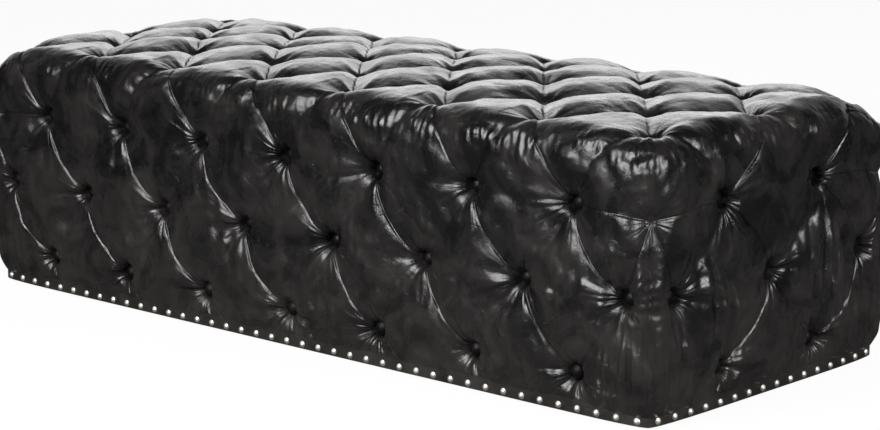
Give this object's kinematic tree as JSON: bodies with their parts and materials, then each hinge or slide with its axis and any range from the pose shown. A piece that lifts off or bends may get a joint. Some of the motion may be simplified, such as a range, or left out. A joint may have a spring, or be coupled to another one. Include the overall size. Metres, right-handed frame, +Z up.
{
  "type": "tufted footstool",
  "caption": "Long low box footstool in deep-buttoned aged black leather, with diamond tufts over top and sides and a nailhead band round its base.",
  "frame": {"origin": "centre of the footprint, on the floor under the glides", "axes": "+X along the length, +Y from front to back, +Z up"},
  "size_m": [1.502, 0.6068, 0.44],
  "materials": {
    "aged_black_leather": "waxed, aged, semi-gloss",
    "button_leather": "waxed, aged, semi-gloss",
    "band_leather": "waxed, aged, satin",
    "nickel_nail": "polished nickel",
    "zinc_steel": "bright zinc",
    "upholstery_foam": "open-cell foam",
    "waxed_twine": "waxed",
    "washer_fibre": "matt",
    "bottoming_cloth": "woven matt",
    "glide_nylon": "matt",
    "plywood": "sanded, unfinished",
    "beech_frame": "planed, unfinished"
  },
  "bodies": {
    "root": {"band_nails": "nickel_nail", "base_rail_back": "beech_frame", "base_rail_front": "beech_frame", "base_rail_left": "beech_frame", "base_rail_right": "beech_frame", "base_stretcher_1": "beech_frame", "base_stretcher_2": "beech_frame", "base_stretcher_3": "beech_frame", "base_stretcher_4": "beech_frame", "bottom_cloth": "bottoming_cloth", "button_twines": "waxed_twine", "buttons_back": "button_leather", "buttons_front": "button_leather", "buttons_left": "button_leather", "buttons_right": "button_leather", "buttons_top": "button_leather", "cloth_staples": "zinc_steel", "corner_post_back_left": "beech_frame", "corner_post_back_right": "beech_frame", "corner_post_front_left": "beech_frame", "corner_post_front_right": "beech_frame", "deck": "plywood", "deck_bearer_1": "beech_frame", "deck_bearer_2": "beech_frame", "deck_bearer_3": "beech_frame", "deck_bearer_4": "beech_frame", "deck_screws": "zinc_steel", "foam_back": "upholstery_foam", "foam_front": "upholstery_foam", "foam_left": "upholstery_foam", "foam_right": "upholstery_foam", "foam_top": "upholstery_foam", "glides": "glide_nylon", "hem_band": "band_leather", "leather_cover": "aged_black_leather", "panel_back": "plywood", "panel_front": "plywood", "panel_left": "plywood", "panel_right": "plywood", "panel_screws": "zinc_steel", "stay_washers": "washer_fibre", "stud_back_1": "beech_frame", "stud_back_2": "beech_frame", "stud_back_3": "beech_frame", "stud_back_4": "beech_frame", "stud_front_1": "beech_frame", "stud_front_2": "beech_frame", "stud_front_3": "beech_frame", "stud_front_4": "beech_frame", "top_batten_back": "beech_frame", "top_batten_front": "beech_frame", "top_batten_left": "beech_frame", "top_batten_right": "beech_frame"}
  },
  "joints": []
}
